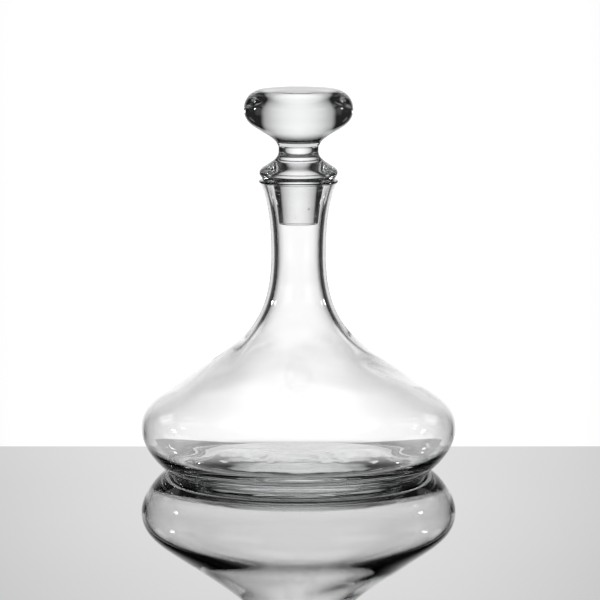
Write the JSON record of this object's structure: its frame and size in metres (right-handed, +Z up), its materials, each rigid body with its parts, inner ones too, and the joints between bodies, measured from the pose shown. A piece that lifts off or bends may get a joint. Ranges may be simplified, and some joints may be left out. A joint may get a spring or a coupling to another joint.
{
  "type": "wine decanter",
  "caption": "Clear glass ship's decanter with a wide squat belly, a thick heavy base, a long concave shoulder, a slim flared neck and a solid round stopper that lifts out.",
  "frame": {"origin": "middle of the foot, on the table", "axes": "+Z up along the neck; the object is a body of revolution about Z"},
  "size_m": [0.215, 0.215, 0.2608],
  "materials": {
    "decanter_glass": "clear blown glass, fire-polished, with faint hand-made ripples in the base",
    "stopper_glass": "clear solid glass, polished, with a few small bubbles in the plug"
  },
  "bodies": {
    "vessel": {"decanter": "decanter_glass"},
    "loose_stopper": {"stopper": "stopper_glass"}
  },
  "joints": [
    {"name": "stopper_lift", "type": "slide", "parent": "vessel", "child": "loose_stopper", "axis": [0, 0, 1], "range_m": [0, 0.045]}
  ]
}
